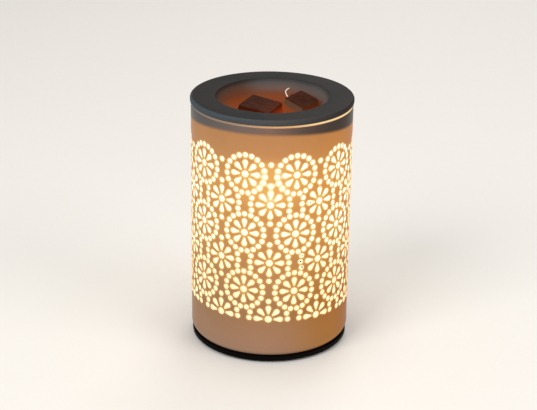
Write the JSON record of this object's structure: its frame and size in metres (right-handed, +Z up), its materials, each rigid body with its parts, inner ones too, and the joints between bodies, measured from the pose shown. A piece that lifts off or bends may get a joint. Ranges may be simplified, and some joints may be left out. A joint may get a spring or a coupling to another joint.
{
  "type": "electric essential oil burner",
  "caption": "Electric essential oil burner: a cylindrical ceramic lamp shade with a loose warming dish for wax melts or scented oil on its rim.",
  "frame": {"origin": "on the table under the centre of the base", "axes": "+Z up, -Y to the front, +Y to the cord inlet at the back"},
  "size_m": [0.0972, 0.0978, 0.1528],
  "materials": {
    "white_glazed_ceramic": "glossy white glaze over porcelain",
    "blue_grey_glazed_ceramic": "satin blue-grey glaze",
    "black_plastic": "fine matt texture",
    "black_rubber": "matt",
    "grey_rubber": "matt silicone sheet",
    "zinc_plated_steel": "bright zinc plate",
    "screw_steel": "zinc plated",
    "white_painted_steel": "satin white heat-proof paint",
    "chromed_tube": "polished",
    "steatite": "unglazed steatite",
    "spring_brass": "plain",
    "terminal_brass": "nickel-free brass",
    "lamp_glass": "clear",
    "lamp_wire": "drawn wire",
    "tungsten": "glowing coil",
    "white_plastic": "moulded",
    "brown_insulation": "silicone sleeve",
    "blue_insulation": "silicone sleeve",
    "clear_silicone": "translucent",
    "brown_wax": "waxy, slightly translucent",
    "white_cotton": "waxed cotton thread"
  },
  "bodies": {
    "burner": {"bridge_plate": "zinc_plated_steel", "stem_tube": "zinc_plated_steel", "lower_nut": "zinc_plated_steel", "lock_washer": "zinc_plated_steel", "plate_nut": "zinc_plated_steel", "cover_washer": "zinc_plated_steel", "cover_nut": "zinc_plated_steel", "bracket_nut": "zinc_plated_steel", "socket_bracket": "zinc_plated_steel", "base_screws": "screw_steel", "socket_screws": "screw_steel", "terminal_screws": "screw_steel", "terminal_fixing_screw": "screw_steel", "shade": "white_glazed_ceramic", "base_plate": "black_plastic", "rubber_feet": "black_rubber", "cord_grommet": "black_rubber", "floor_gasket": "grey_rubber", "wiring_cover": "white_painted_steel", "spacer_tube": "chromed_tube", "socket_back": "steatite", "socket_body": "steatite", "socket_contacts": "spring_brass", "terminal_block": "white_plastic", "terminal_tubes": "terminal_brass", "live_lead": "brown_insulation", "neutral_lead": "blue_insulation"},
    "lamp": {"lamp_glass": "lamp_glass", "lamp_pins": "lamp_wire", "lamp_filament": "tungsten", "filament_supports": "lamp_wire"},
    "dish": {"melt_dish": "blue_grey_glazed_ceramic", "dish_bumpers": "clear_silicone"},
    "left_melt": {"left_wax_melt": "brown_wax"},
    "right_melt": {"right_wax_melt": "brown_wax", "wick_end": "white_cotton"}
  },
  "joints": [
    {"name": "dish_lift", "type": "slide", "parent": "burner", "child": "dish", "axis": [0, 0, 1], "range_m": [0, 0.12]},
    {"name": "lamp_pull", "type": "slide", "parent": "burner", "child": "lamp", "axis": [0, 0, 1], "range_m": [0, 0.02]},
    {"name": "left_melt_lift", "type": "slide", "parent": "dish", "child": "left_melt", "axis": [0, 0, 1], "range_m": [0, 0.06]},
    {"name": "right_melt_lift", "type": "slide", "parent": "dish", "child": "right_melt", "axis": [0, 0, 1], "range_m": [0, 0.06]}
  ]
}
